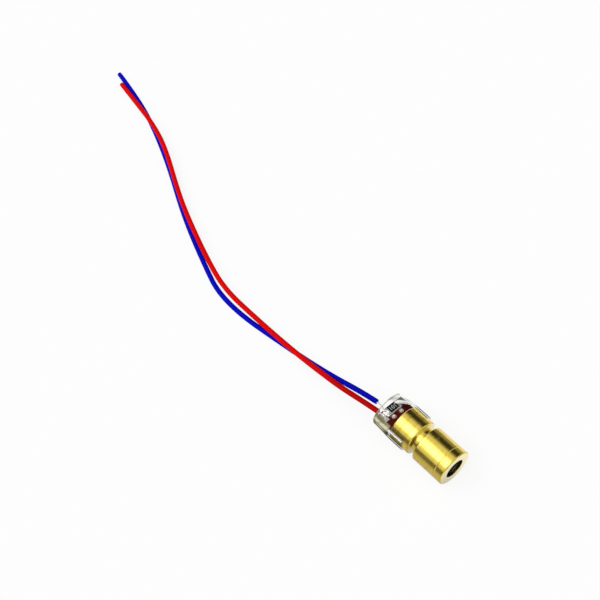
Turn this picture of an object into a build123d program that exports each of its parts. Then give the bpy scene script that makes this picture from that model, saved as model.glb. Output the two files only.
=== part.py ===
"""Dot laser module: turned brass head, laser diode, small circuit board, clear sleeve and two wires.

Frame: +X is the beam direction, +Z is up, and the origin is the centre of the nose's front face, on the
beam axis. The module lies on its side, with both wires trailing behind it on the same surface. Sizes are mm.
"""
from build123d import *
import math
import os

# Brass nose barrel
barrel_dia = 6.0
barrel_length = 5.75
aperture_dia = 3.3
lip_thickness = 0.5
edge_chamfer = 0.15
ring_setback = 1.45
ring_width = 0.12
ring_depth = 0.05

# Brass diode holder, whose neck enters the nose barrel
holder_dia = 5.9
holder_length = 3.75
neck_dia = 4.2
neck_gap = 1.0
neck_depth = 2.2
neck_chamfer = 0.1
neck_clearance = 0.02
beam_bore_dia = 2.8

# Collimating lens and the spring that holds it against the lip
lens_edge = 0.9
lens_clearance = 0.03
lens_index = 1.49
dome_margin = 0.1
spring_wire_dia = 0.3
spring_wire_sides = 8
spring_coils = 4
spring_clearance = 0.15
spring_seat_gap = 0.01

# Laser diode: base, pins, can, window and chip
base_rim = 0.35
base_thickness = 0.9
base_recess = 0.25
base_clearance = 0.01
pin_dia = 0.4
pin_angle = 45.0
pin_inside = 0.4
pin_bend_radius = 0.45
pin_protrusion = 0.2
pin_can_gap = 0.15
seal_dia = 0.7
can_dia = 3.2
can_height = 1.9
can_wall = 0.15
can_flange_width = 0.25
can_flange_thickness = 0.2
can_clearance = 0.05
can_headroom = 0.15
window_dia = 2.2
window_thickness = 0.25
port_dia = 1.6
post_dia = 2.2
chip_length = 0.3
chip_width = 0.25
chip_thickness = 0.1
chip_window_gap = 0.4

# Circuit board with its tinned pads
board_length = 3.05
board_inset = 0.5
board_height = 1.0
board_thickness = 0.8
pin_hole_clearance = 0.05
pad_thickness = 0.05
pad_inset = 0.05
wire_pad_length = 1.65
wire_pad_edge = 0.05
pad_gap = 0.12

# Chip resistor, lying across the board near its rear edge
resistor_length = 2.0
resistor_width = 1.25
resistor_height = 0.5
resistor_setback = 0.1
cap_thickness = 0.04
cap_top_length = 0.2
cap_foot_length = 0.35
coating_thickness = 0.06
coating_margin = 0.04
resistor_pad_reach = 0.48

# Solder
solder_film = 0.05
bead_margin = 0.16
bead_cover = 0.12
bead_clearance = 0.08
joint_margin = 0.275
joint_cover = 0.12
joint_end_cover = 0.2
fillet_radius = 0.42
fillet_height = 0.4

# Clear heat-shrink sleeve, round on the holder and drawn in to an oval over the board
sleeve_wall = 0.25
sleeve_grip = 0.01
sleeve_overlap = 2.52
sleeve_tail = 3.27
sleeve_side_gap = 0.35
sleeve_tail_height = 4.6
sleeve_cut_spare = 0.8
snip_inset = 0.6
snip_angle = 65.0
rest_flat = 0.03

# Wires: insulated leads with stripped ends
wire_dia = 0.84
core_dia = 0.25
core_straight = 0.2
core_landing = 0.1
bend_share = 0.45

# Routes of the wires, with x counted from the rear edge of the board and y from where the core lands
red_route = [
    (-0.27, 0, 1.2),
    (-3.25, -0.25, 0.8),
    (-7.65, -0.6, -0.1),
    (-13.45, -0.55, -1.38),
    (-19.45, -0.75, -1.83),
    (-27.45, -1, -1.68),
    (-35.15, -0.85, -1.83),
    (-41.95, 1.05, -1.78),
    (-50.95, 4.3, -1.78),
    (-56.95, 6.85, -1.78),
    (-66.95, 11.85, -1.78),
    (-73.45, 13.85, -1.78),
    (-79.45, 14.95, -1.98),
    (-86.05, 16.35, -2.63),
]
blue_route = [
    (-1.65, 0.265, 1.1),
    (-4.65, -0.135, 0.85),
    (-10.65, -0.455, -1.35),
    (-18.45, -1.155, -2.76),
    (-33.75, -3.255, -2.76),
    (-43.45, 0.085, -2.76),
    (-52.95, 3.845, -2.76),
    (-62.95, 8.785, -2.76),
    (-71.45, 12.385, -2.76),
    (-79.95, 15.265, -2.76),
    (-88.75, 16.965, -2.76),
]

# Laser diode sizes that follow from its can
can_inner_dia = can_dia - 2 * can_wall
can_flange_dia = can_dia + 2 * can_flange_width
base_dia = can_flange_dia + 2 * base_rim
pin_circle_dia = can_inner_dia - pin_dia - 2 * pin_can_gap
chip_height = can_height - can_wall - window_thickness - chip_window_gap

# Solder sizes that follow from what the solder covers
bead_radius = pin_dia / 2 + bead_margin
bead_height = pin_protrusion + bead_cover
joint_radius = core_dia / 2 + joint_margin
joint_height = solder_film + core_dia + joint_cover

# Stations along the beam axis
lens_rear = -lip_thickness - lens_edge
neck_front = neck_depth - barrel_length
holder_front = -barrel_length - neck_gap
holder_rear = holder_front - holder_length
base_rear = holder_rear + base_recess
base_top = base_rear + base_thickness
can_top = base_top + can_height
chip_facet = base_top + chip_height
board_rear = holder_rear - board_length
resistor_rear = board_rear + resistor_setback
resistor_front = resistor_rear + resistor_width
bead_x = resistor_front + bead_clearance + bead_radius

# Radii shared by pieces that fit each other
bore_radius = neck_dia / 2 + neck_clearance
sleeve_radius = holder_dia / 2 + sleeve_grip

# Pin places below the beam axis, and the board's heights above it
pin_y = pin_circle_dia / 2 * math.sin(math.radians(pin_angle))
pin_z = -pin_circle_dia / 2 * math.cos(math.radians(pin_angle))
board_bottom = board_height - board_thickness
pad_top = board_height + pad_thickness
pin_tip = pad_top + pin_protrusion

# Places across the board, from its near edge: the red wire's pad, then the resistor
board_width = holder_dia - 2 * board_inset
wire_pad_width = 2 * joint_radius
red_pad_near = wire_pad_edge - board_width / 2
red_pad_y = red_pad_near + wire_pad_width / 2
resistor_near = red_pad_near + wire_pad_width + pad_gap + resistor_pad_reach
resistor_far = resistor_near + resistor_length
blue_core_y = resistor_near - core_dia / 2 - cap_thickness


def lathe(outline):
    """Turned piece: a closed outline of (station, radius) points spun about the beam axis."""
    return revolve(make_face(Polyline(*outline, close=True)), Axis.X)


def rod(start, end, radius, y=0.0, z=0.0):
    """Round bar along the beam axis, from a rear station to a front one."""
    return extrude(Plane(origin=(start, y, z), z_dir=(1, 0, 0)) * Circle(radius), end - start)


def block(x_span, y_span, z_span):
    """Box between pairs of coordinates."""
    size = [high - low for low, high in (x_span, y_span, z_span)]
    corner = (x_span[0], y_span[0], z_span[0])
    return Pos(*corner) * Box(*size, align=(Align.MIN, Align.MIN, Align.MIN))


def lens_barrel():
    """Nose barrel with the lip of the beam aperture, its rear bore and one fine turned ring."""
    radius = barrel_dia / 2
    aperture = aperture_dia / 2
    return lathe([
        (0, aperture),
        (0, radius - edge_chamfer),
        (-edge_chamfer, radius),
        (ring_width / 2 - ring_setback, radius),
        (-ring_setback, radius - ring_depth),
        (-ring_setback - ring_width / 2, radius),
        (edge_chamfer - barrel_length, radius),
        (-barrel_length, radius - edge_chamfer),
        (-barrel_length, bore_radius),
        (-lip_thickness, bore_radius),
        (-lip_thickness, aperture),
    ])


def diode_holder():
    """Rear piece: neck, collar, a seat for the diode's base, a bore for its can and one for the beam."""
    collar = holder_dia / 2
    neck = neck_dia / 2
    seat = base_dia / 2 + base_clearance
    can_bore = can_flange_dia / 2 + can_clearance
    can_bore_end = can_top + can_headroom
    beam = beam_bore_dia / 2
    return lathe([
        (neck_front, beam),
        (neck_front, neck - neck_chamfer),
        (neck_front - neck_chamfer, neck),
        (holder_front, neck),
        (holder_front, collar - edge_chamfer),
        (holder_front - edge_chamfer, collar),
        (holder_rear + edge_chamfer, collar),
        (holder_rear, collar - edge_chamfer),
        (holder_rear, seat),
        (base_top, seat),
        (base_top, can_bore),
        (can_bore_end, can_bore),
        (can_bore_end, beam),
    ])


def collimating_lens():
    """Plano-convex lens. Its dome is curved so that the laser chip lies at its back focus."""
    focal_length = lens_rear - chip_facet + lens_edge / lens_index
    curve = (lens_index - 1) * focal_length
    edge = bore_radius - lens_clearance
    foot = aperture_dia / 2 - dome_margin
    half_angle = math.asin(foot / curve)
    centre = -lip_thickness - curve * math.cos(half_angle)
    middle = (centre + curve * math.cos(half_angle / 2), curve * math.sin(half_angle / 2))
    apex = (centre + curve, 0)
    rim = Polyline(apex, (lens_rear, 0), (lens_rear, edge), (-lip_thickness, edge), (-lip_thickness, foot))
    dome = ThreePointArc((-lip_thickness, foot), middle, apex)
    return revolve(make_face(rim + dome), Axis.X)


def lens_spring():
    """Compression spring between the holder's neck and the lens, its wire drawn with eight sides."""
    start = neck_front + spring_wire_dia / 2 + spring_seat_gap
    height = lens_rear - spring_wire_dia / 2 - spring_seat_gap - start
    radius = bore_radius - spring_clearance - spring_wire_dia / 2
    coil = Helix(height / spring_coils, height, radius, center=(start, 0, 0), direction=(1, 0, 0))
    section = RegularPolygon(spring_wire_dia / 2, spring_wire_sides)
    return sweep(Plane(origin=coil @ 0, z_dir=coil % 0) * section, path=coil, is_frenet=True)


def pin(y):
    """One pin of the diode: back from inside the can, then bent up through the board."""
    inner_end = (base_top + pin_inside, y, pin_z)
    corner = (bead_x, y, pin_z)
    path = FilletPolyline(inner_end, corner, (bead_x, y, pin_tip), radius=pin_bend_radius)
    return sweep(Plane(origin=path @ 0, z_dir=path % 0) * Circle(pin_dia / 2), path=path)


def diode_base():
    """Base disc with the half-round post that carries the chip, and a hole for each pin."""
    plate = rod(base_rear, base_top, base_dia / 2)
    post = rod(base_top, chip_facet, post_dia / 2)
    post &= block((base_top, chip_facet), (-post_dia, post_dia), (chip_thickness, post_dia))
    seal_hole = rod(base_rear, base_top, seal_dia / 2, -pin_y, pin_z)
    return plate + post - seal_hole - pin(pin_y)


def anode_seal():
    """Glass bead that carries the anode pin through the base."""
    return rod(base_rear, base_top, seal_dia / 2, -pin_y, pin_z) - pin(-pin_y)


def diode_can():
    """Thin cap welded to the base by its flange, with a round port in front of the chip."""
    inner = can_inner_dia / 2
    outer = can_dia / 2
    flange = can_flange_dia / 2
    return lathe([
        (base_top, inner),
        (base_top, flange),
        (base_top + can_flange_thickness, flange),
        (base_top + can_flange_thickness, outer),
        (can_top, outer),
        (can_top, port_dia / 2),
        (can_top - can_wall, port_dia / 2),
        (can_top - can_wall, inner),
    ])


def diode_window():
    """Glass disc sealed behind the port of the can."""
    back = can_top - can_wall
    return rod(back - window_thickness, back, window_dia / 2)


def laser_chip():
    """Laser chip under the flat of the post, with its emitting facet on the beam axis."""
    half = chip_width / 2
    return block((chip_facet - chip_length, chip_facet), (-half, half), (0, chip_thickness))


def disc(radius, y, bottom, top):
    """Upright round form at one pin's place."""
    column = Cylinder(radius, top - bottom, align=(Align.CENTER, Align.CENTER, Align.MIN))
    return Pos(bead_x, y, bottom) * column


def pin_hole(y):
    """Hole for one pin through the board and its pad."""
    return disc(pin_dia / 2 + pin_hole_clearance, y, board_bottom, pad_top)


def circuit_board():
    """Board that butts on the holder's rear face, above the diode's pins, with a hole for each of them."""
    half = board_width / 2
    blank = block((board_rear, holder_rear), (-half, half), (board_bottom, board_height))
    return blank - pin_hole(pin_y) - pin_hole(-pin_y)


def solder_pads():
    """Tinned copper pads: a ring round each pin, and one under each end of the resistor and the red wire."""
    resistor_span = (resistor_rear + pad_inset, resistor_front - pad_inset)
    wire_span = (resistor_rear, resistor_rear + wire_pad_length)
    places = [
        (resistor_span, (resistor_far - cap_foot_length, resistor_far + resistor_pad_reach)),
        (resistor_span, (resistor_near - resistor_pad_reach, resistor_near + cap_foot_length)),
        (wire_span, (red_pad_near, red_pad_near + wire_pad_width)),
    ]
    pads = [block(x, y, (board_height, pad_top)) for x, y in places]
    rings = [disc(bead_radius, y, board_height, pad_top) - pin_hole(y) for y in (pin_y, -pin_y)]
    return Compound(children=pads + rings)


def resistor_body():
    """Ceramic block of the chip resistor, inside its end caps."""
    return block(
        (resistor_rear, resistor_front),
        (resistor_near + cap_thickness, resistor_far - cap_thickness),
        (pad_top + cap_thickness, pad_top + resistor_height - cap_thickness),
    )


def resistor_coating():
    """Black glass over the resistive film, between the tops of the two end caps."""
    base = pad_top + resistor_height - cap_thickness
    return block(
        (resistor_rear + coating_margin, resistor_front - coating_margin),
        (resistor_near + cap_top_length, resistor_far - cap_top_length),
        (base, base + coating_thickness),
    )


def resistor_end_caps():
    """Two tinned caps, each wrapped round one end of the ceramic block."""
    height = (pad_top, pad_top + resistor_height)
    width = (resistor_rear, resistor_front)
    caps = []
    for end, inwards in ((resistor_far, -1), (resistor_near, 1)):
        foot = sorted((end, end + inwards * cap_foot_length))
        notch = sorted((end + inwards * cap_top_length, end + inwards * cap_foot_length))
        sleeve = block(width, foot, height) - resistor_body()
        caps.append(sleeve - block(width, notch, (pad_top + cap_thickness, pad_top + resistor_height)))
    return Compound(children=caps)


def mounds(feet, radius, height):
    """Solder: one ball over each foot on the pads, joined and cut off level with the pads."""
    ball = (radius ** 2 + height ** 2) / (2 * height)
    first, *others = [Pos(x, y, pad_top + height - ball) * Sphere(ball) for x, y in feet]
    mass = first.fuse(*others) if others else first
    x_places = [x for x, y in feet]
    y_places = [y for x, y in feet]
    return mass & block(
        (min(x_places) - 2 * ball, max(x_places) + 2 * ball),
        (min(y_places) - 2 * ball, max(y_places) + 2 * ball),
        (pad_top, pad_top + 2 * height),
    )


def pin_solder(y):
    """Bead round the end of one pin."""
    return mounds([(bead_x, y)], bead_radius, bead_height) - pin(y)


def route_points(route, landing_y):
    """Points of a wire's route, placed behind the board."""
    return [Vector(board_rear + x, landing_y + y, z) for x, y, z in route]


def bend_radii(points):
    """Largest radius that the two runs beside each inner point allow."""
    runs = [b - a for a, b in zip(points, points[1:])]
    radii = []
    for before, after in zip(runs, runs[1:]):
        half_turn = math.radians(before.get_angle(after)) / 2
        radii.append(bend_share * min(before.length, after.length) / math.tan(half_turn))
    return radii


def core_end(route, y, x):
    """Stripped core: straight out of the insulation, then up to lie on its pad as far as station x."""
    start, second = route_points(route, y)[:2]
    heading = (start - second).normalized()
    height = pad_top + solder_film + core_dia / 2
    landing = resistor_rear + core_landing
    points = [start, start + heading * core_straight, Vector(landing, y, height), Vector(x, y, height)]
    path = FilletPolyline(*points, radius=bend_radii(points))
    return sweep(Plane(origin=path @ 0, z_dir=path % 0) * Circle(core_dia / 2), path=path)


def red_wire_core():
    """Stripped end of the red wire, lying on the pad at the board's near edge."""
    return core_end(red_route, red_pad_y, resistor_front - joint_end_cover)


def blue_wire_core():
    """Stripped end of the blue wire, lying beside the near end of the resistor."""
    return core_end(blue_route, blue_core_y, resistor_front - joint_end_cover)


def red_wire_solder():
    """Two joined mounds round the red core, on the rear part of its pad."""
    rear = resistor_rear + joint_radius
    front = resistor_front - joint_radius
    return mounds([(rear, red_pad_y), (front, red_pad_y)], joint_radius, joint_height) - red_wire_core()


def blue_wire_solder():
    """Two joined mounds round the blue core, against the near end of the resistor."""
    rear = resistor_rear + joint_radius
    front = resistor_front - joint_radius
    mass = mounds([(rear, blue_core_y), (front, blue_core_y)], joint_radius, joint_height)
    beside = (resistor_near - resistor_pad_reach, resistor_near)
    mass &= block((resistor_rear, resistor_front), beside, (pad_top, pad_top + 2 * joint_height))
    return mass - blue_wire_core()


def resistor_solder():
    """Fillet against the far end of the resistor."""
    middle = (resistor_rear + resistor_front) / 2
    feet = [(middle + side * fillet_radius / 2, resistor_far) for side in (-1, 1)]
    outside = (resistor_far, resistor_far + resistor_pad_reach)
    height = (pad_top, pad_top + 2 * fillet_height)
    mass = mounds(feet, fillet_radius, fillet_height)
    return mass & block((resistor_rear, resistor_front), outside, height)


def sleeve_form(grow):
    """Solid form of the sleeve, grown outwards: a cylinder on the holder, then a loft to an oval."""
    end = holder_rear - sleeve_tail - sleeve_cut_spare
    waist = Plane(origin=(holder_rear, 0, 0), x_dir=(0, 1, 0), z_dir=(-1, 0, 0))
    tail = Plane(origin=(end, 0, 0), x_dir=(0, 1, 0), z_dir=(-1, 0, 0))
    oval = Ellipse(board_width / 2 + sleeve_side_gap + grow, sleeve_tail_height / 2 + grow)
    grip = rod(holder_rear, holder_rear + sleeve_overlap, sleeve_radius + grow)
    return grip + loft([waist * Circle(sleeve_radius + grow), tail * oval])


def heatshrink_sleeve():
    """Clear sleeve, cut off square behind the board, its far corner snipped, with a flat spot to lie on."""
    tube = sleeve_form(sleeve_wall) - sleeve_form(0)
    cut = holder_rear - sleeve_tail
    span = 2 * holder_dia
    knife = Box(span, span, span, align=(Align.MAX, Align.CENTER, Align.CENTER))
    snip = Pos(cut, board_width / 2 + sleeve_side_gap - snip_inset, 0) * Rot(0, 0, -snip_angle) * knife
    table_height = rest_flat - sleeve_radius - sleeve_wall
    table = block((cut, holder_rear + sleeve_overlap), (-span, span), (-span, table_height))
    return tube - Pos(cut, 0, 0) * knife - snip - table


def insulated_wire(name, route, landing_y):
    """Round wire along its route: straight runs with the largest arcs that their lengths allow."""
    points = route_points(route, landing_y)
    radii = bend_radii(points)
    path = FilletPolyline(*points, radius=radii)
    wire = sweep(Plane(origin=path @ 0, z_dir=path % 0) * Circle(wire_dia / 2), path=path)
    expected = math.pi * wire_dia ** 2 / 4 * path.length
    print(name, "radii", [round(radius, 1) for radius in radii], "length", round(path.length, 2))
    print(name, "volume", round(wire.volume, 3), "section times length", round(expected, 3))
    return wire


pieces = {
    "lens_barrel": lens_barrel(),
    "diode_holder": diode_holder(),
    "collimating_lens": collimating_lens(),
    "lens_spring": lens_spring(),
    "diode_base": diode_base(),
    "diode_can": diode_can(),
    "diode_window": diode_window(),
    "laser_chip": laser_chip(),
    "anode_pin": pin(-pin_y),
    "cathode_pin": pin(pin_y),
    "anode_seal": anode_seal(),
    "circuit_board": circuit_board(),
    "solder_pads": solder_pads(),
    "resistor_body": resistor_body(),
    "resistor_coating": resistor_coating(),
    "resistor_end_caps": resistor_end_caps(),
    "anode_solder": pin_solder(-pin_y),
    "cathode_solder": pin_solder(pin_y),
    "resistor_solder": resistor_solder(),
    "red_wire_solder": red_wire_solder(),
    "blue_wire_solder": blue_wire_solder(),
    "red_wire_core": red_wire_core(),
    "blue_wire_core": blue_wire_core(),
    "heatshrink_sleeve": heatshrink_sleeve(),
    "red_wire": insulated_wire("red_wire", red_route, red_pad_y),
    "blue_wire": insulated_wire("blue_wire", blue_route, blue_core_y),
}

os.makedirs("parts", exist_ok=True)
for node, solid in pieces.items():
    export_step(solid, f"parts/{node}.step")
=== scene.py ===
# %% [markdown]
# # Laser diode module
# A dot laser: a turned brass head, a tiny circuit board under a clear shrunk sleeve, and a red and a blue
# lead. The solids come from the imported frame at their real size. This script dresses them: some keep their
# shape and get a finish, and where a close look asks for rounder edges, tool marks or uneven metal, a finer
# surface takes the solid's place. Everything below is written in millimetres and becomes metres when a mesh
# is made.

# %% Load the frame
import math
import bmesh
import bpy
import numpy as np
from mathutils import Matrix, Vector


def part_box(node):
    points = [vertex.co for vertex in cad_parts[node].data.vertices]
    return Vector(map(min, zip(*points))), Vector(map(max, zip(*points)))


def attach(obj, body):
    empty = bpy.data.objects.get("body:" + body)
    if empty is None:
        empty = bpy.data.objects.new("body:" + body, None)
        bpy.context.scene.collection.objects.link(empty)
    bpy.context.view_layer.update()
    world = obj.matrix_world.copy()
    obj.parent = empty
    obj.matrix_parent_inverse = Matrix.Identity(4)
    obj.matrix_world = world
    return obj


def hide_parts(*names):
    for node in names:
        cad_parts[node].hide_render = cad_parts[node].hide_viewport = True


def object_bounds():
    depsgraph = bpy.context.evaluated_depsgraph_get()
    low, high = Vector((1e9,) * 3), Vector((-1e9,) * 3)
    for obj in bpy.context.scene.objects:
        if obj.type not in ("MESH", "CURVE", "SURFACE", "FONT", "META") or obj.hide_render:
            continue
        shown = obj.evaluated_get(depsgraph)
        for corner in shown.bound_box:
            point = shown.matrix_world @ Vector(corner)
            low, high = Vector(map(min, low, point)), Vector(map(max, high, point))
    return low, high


MM = 0.001
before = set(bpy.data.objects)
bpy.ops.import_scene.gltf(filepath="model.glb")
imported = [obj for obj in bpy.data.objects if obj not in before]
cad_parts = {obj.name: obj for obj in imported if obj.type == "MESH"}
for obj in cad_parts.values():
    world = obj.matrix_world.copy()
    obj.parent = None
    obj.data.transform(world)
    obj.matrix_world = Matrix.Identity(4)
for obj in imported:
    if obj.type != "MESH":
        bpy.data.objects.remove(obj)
cad_low, cad_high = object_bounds()
floor_z = cad_low.z / MM
print("nodes", len(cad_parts), "size in mm", [round(side / MM, 2) for side in cad_high - cad_low])

# %% [markdown]
# ## Camera
# The photograph looks down on the module from the right of its nose. Where a camera stood can be worked out
# from what it saw: the barrel gives the scale, and the wires, which taper as they run away, give the
# distance. The eye and the two angles below are that result, so the camera is set directly, with no
# constraint to aim it.

# %% Camera
PHOTO_PX = 600
FOCAL_PX = 1180
VIEW_AZIMUTH = math.radians(47.96)
VIEW_ELEVATION = math.radians(53.0)
EYE = (46.8, -72.31, 150.94)

right = Vector((math.cos(VIEW_AZIMUTH), math.sin(VIEW_AZIMUTH), 0))
level = Vector((math.sin(VIEW_AZIMUTH), -math.cos(VIEW_AZIMUTH), 0))
back = level * math.cos(VIEW_ELEVATION) + Vector((0, 0, math.sin(VIEW_ELEVATION)))
up = back.cross(right)
camera_data = bpy.data.cameras.new("camera")
camera_data.sensor_width = 36
camera_data.lens = camera_data.sensor_width * FOCAL_PX / PHOTO_PX
camera_data.clip_start = 10 * MM
camera = bpy.data.objects.new("camera", camera_data)
bpy.context.scene.collection.objects.link(camera)
camera.matrix_world = Matrix.Translation(Vector(EYE) * MM) @ Matrix((right, up, back)).transposed().to_4x4()
bpy.context.scene.camera = camera
print("lens", round(camera_data.lens, 1), "mm, eye", EYE)

# %% [markdown]
# ## Writing finishes as sums
# A finish is a small graph of nodes, and a graph is easier to read as a formula. `Value` wraps one socket and
# overloads the operators, so `0.2 + 0.1 * rings` adds the Math nodes it needs. The same graph could be drawn
# by hand in the editor, but a formula can be read, compared and repeated.


# %% Sums of sockets
class Value:
    """One output socket. Sums, differences, products and quotients of it add Math nodes."""

    def __init__(self, finish, socket):
        self.finish = finish
        self.socket = socket

    def _math(self, operation, first, second):
        return self.finish.node("ShaderNodeMath", {"operation": operation}, {0: first, 1: second})

    def __add__(self, other):
        return self._math("ADD", self, other)

    def __radd__(self, other):
        return self._math("ADD", other, self)

    def __sub__(self, other):
        return self._math("SUBTRACT", self, other)

    def __rsub__(self, other):
        return self._math("SUBTRACT", other, self)

    def __mul__(self, other):
        return self._math("MULTIPLY", self, other)

    def __rmul__(self, other):
        return self._math("MULTIPLY", other, self)

    def __truediv__(self, other):
        return self._math("DIVIDE", self, other)

    def __rtruediv__(self, other):
        return self._math("DIVIDE", other, self)


print("sockets can be summed")

# %% [markdown]
# Every other node comes from `Finish.node`, which sets a node's options first and then its sockets, by value
# or by link. The methods after it name what nearly every finish needs: the point on the surface in
# millimetres, a soft noise, a soft step or band of a value, a mix of two colours, a bump, and a Principled
# shader.


# %% Finishes
class Finish:
    """A material, or the world, with one method that adds nodes and a few that name common ones."""

    def __init__(self, owner):
        owner.use_nodes = True
        self.owner = owner
        self.tree = owner.node_tree
        self.tree.nodes.clear()

    def node(self, kind, settings=None, inputs=None, output=0):
        """Add a node, set its options, then its sockets, and return one of its outputs, if it has any."""
        made = self.tree.nodes.new(kind)
        for name, value in (settings or {}).items():
            setattr(made, name, value)
        for name, value in (inputs or {}).items():
            if isinstance(value, Value):
                self.tree.links.new(value.socket, made.inputs[name])
            else:
                made.inputs[name].default_value = value
        return Value(self, made.outputs[output]) if made.outputs else None

    def place(self):
        """The object's own coordinates, in metres."""
        return self.node("ShaderNodeTexCoord", output="Object")

    def axes(self):
        """The three coordinates of a point, in millimetres."""
        split = self.node("ShaderNodeSeparateXYZ", inputs={0: self.place()})
        outputs = split.socket.node.outputs
        return [Value(self, output) * (1 / MM) for output in outputs]

    def noise(self, size, detail=2.0):
        """Soft random pattern from 0 to 1, with spots of about a given size in millimetres."""
        return self.node("ShaderNodeTexNoise", inputs={"Vector": self.place(), "Scale": 1 / (size * MM),
                                                       "Detail": detail})

    def step(self, value, start, end):
        """Smooth step: 0 below start, 1 above end."""
        return self.node("ShaderNodeMapRange", {"interpolation_type": "SMOOTHSTEP"},
                         {"Value": value, "From Min": start, "From Max": end})

    def blend(self, share, first, second):
        """Colour that goes from the first to the second as the share goes from 0 to 1."""
        colours = {6: first, 7: second}
        for socket, colour in colours.items():
            if not isinstance(colour, Value):
                colours[socket] = (*colour, 1)
        return self.node("ShaderNodeMix", {"data_type": "RGBA"}, {0: share, **colours}, output=2)

    def band(self, value, start, full, fade, end):
        """Soft band: rises from 0 at start to 1 at full, and falls from 1 at fade to 0 at end."""
        return self.step(value, start, full) * (1 - self.step(value, fade, end))

    def bump(self, height, distance):
        """Normal of a surface raised by height times a distance in millimetres."""
        return self.node("ShaderNodeBump", inputs={"Height": height, "Distance": distance * MM})

    def principled(self, **sockets):
        """A Principled shader. Socket names use _ for a space."""
        inputs = {}
        for name, value in sockets.items():
            inputs[name.replace("_", " ")] = (*value, 1) if isinstance(value, tuple) else value
        return self.node("ShaderNodeBsdfPrincipled", inputs=inputs)

    def output(self, shader):
        """Join a shader to the material's output."""
        self.node("ShaderNodeOutputMaterial", inputs={"Surface": shader})
        return self.owner

    def close(self, **sockets):
        """Material of one Principled shader."""
        return self.output(self.principled(**sockets))


def new_finish(name):
    """An empty material to write a formula into."""
    return Finish(bpy.data.materials.new(name))


print("finishes can be written")

# %% [markdown]
# ## Making surfaces
# Every new piece is a grid of points worked out with numpy: a shape is a formula of two parameters, rows and
# columns. `skin` turns one or more grids into a mesh, four neighbours to a face, merges what meets at seams
# and poles, and turns the faces outwards. `add_piece` links the object, gives it its finish and lets it ride
# on the part's one body.


# %% Mesh toolkit
MERGE_DISTANCE = 1e-8
SLIVER_LENGTH = 1e-9


def skin(name, *grids, sharp=35):
    """Mesh of grids of shape (rows, columns, 3) in millimetres, with edges over `sharp` degrees left crisp."""
    faces = []
    first = 0
    for grid in grids:
        index = first + np.arange(grid.shape[0] * grid.shape[1]).reshape(grid.shape[:2])
        corners = [index[:-1, :-1], index[1:, :-1], index[1:, 1:], index[:-1, 1:]]
        faces.append(np.stack(corners, axis=-1).reshape(-1, 4))
        first += index.size
    points = np.concatenate([grid.reshape(-1, 3) for grid in grids]) * MM
    mesh = bpy.data.meshes.new(name)
    mesh.from_pydata(points.tolist(), [], np.concatenate(faces).tolist())
    work = bmesh.new()
    work.from_mesh(mesh)
    bmesh.ops.remove_doubles(work, verts=work.verts, dist=MERGE_DISTANCE)
    bmesh.ops.dissolve_degenerate(work, edges=work.edges, dist=SLIVER_LENGTH)
    bmesh.ops.recalc_face_normals(work, faces=work.faces)
    work.to_mesh(mesh)
    work.free()
    mesh.shade_smooth()
    mesh.set_sharp_from_angle(angle=math.radians(sharp))
    return mesh


def ring(columns):
    """Angles once round, with the last equal to the first, so that a grid closes on itself."""
    return np.linspace(0, 2 * np.pi, columns + 1)


def add_piece(mesh, finish, slot, *nodes):
    """Object at the origin that rides on the body and stands for the given solids."""
    piece = bpy.data.objects.new(mesh.name, mesh)
    bpy.context.scene.collection.objects.link(piece)
    mesh.materials.append(finish)
    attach(piece, "root")
    if nodes:
        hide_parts(*nodes)
    print(mesh.name, "faces", len(mesh.polygons))
    return piece


def dress(finish, *nodes):
    """Give solids of the frame a finish in place of their plain one."""
    for node in nodes:
        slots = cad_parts[node].material_slots
        for slot in slots:
            slot.material = finish
    print("dressed", *nodes)


def node_box(node):
    """Lowest and highest corner of a solid, in millimetres."""
    low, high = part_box(node)
    return np.array(low) / MM, np.array(high) / MM


print("mesh toolkit ready")

# %% [markdown]
# ## Studio
# The module was photographed in a white tent. Polished metal shows whatever stands around it, so the tent
# matters as much as the brass: its wall is brightest over the viewer's shoulder, a slit in the roof gives the
# dark stripe along the top of the barrels, and the skirt of the tent is dim. The world is that tent, written
# as a formula of the direction: how far it turns about the beam axis, how far it leans along it, and how high
# it is. To the camera it is plain white.

# %% Tent
WALL_TURN = (-64, -38, -29, 1)
WALL_LEAN = (-0.80, -0.50, 0.00, 0.40)
SLIT_TURN = (12, 39, 55, 103)
SLIT_LEAN = (-0.85, -0.70, 0.25, 0.40)
SLIT_SHADE = 0.97
CLOTH_LIGHT = 0.88
WALL_LIGHT = 3.0
SKIRT_LIGHT = 0.03
SKIRT_TOP = 0.24

bpy.context.scene.world = bpy.data.worlds.new("tent")
tent = Finish(bpy.context.scene.world)
direction = tent.node("ShaderNodeTexCoord", output="Generated")
parts_of_way = tent.node("ShaderNodeSeparateXYZ", inputs={0: direction}).socket.node.outputs
along, sideways, upwards = [Value(tent, part) for part in parts_of_way]
turn = tent.node("ShaderNodeMath", {"operation": "ARCTAN2"}, {0: sideways, 1: upwards}) * math.degrees(1)
bright_wall = tent.band(turn, *WALL_TURN) * tent.band(along, *WALL_LEAN)
roof_slit = tent.band(turn, *SLIT_TURN) * tent.band(along, *SLIT_LEAN)
skirt = SKIRT_LIGHT + (1 - SKIRT_LIGHT) * tent.step(upwards, 0.0, SKIRT_TOP)
tent_light = (CLOTH_LIGHT + WALL_LIGHT * bright_wall) * (1 - SLIT_SHADE * roof_slit) * skirt
to_camera = tent.node("ShaderNodeLightPath", output="Is Camera Ray")
glow = tent.node("ShaderNodeBackground", inputs={
    "Color": (1, 1, 1, 1), "Strength": tent_light * (1 - to_camera) + to_camera})
tent.node("ShaderNodeOutputWorld", inputs={"Surface": glow})
bpy.context.scene.view_settings.view_transform = "Standard"
print("tent ready")

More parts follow.
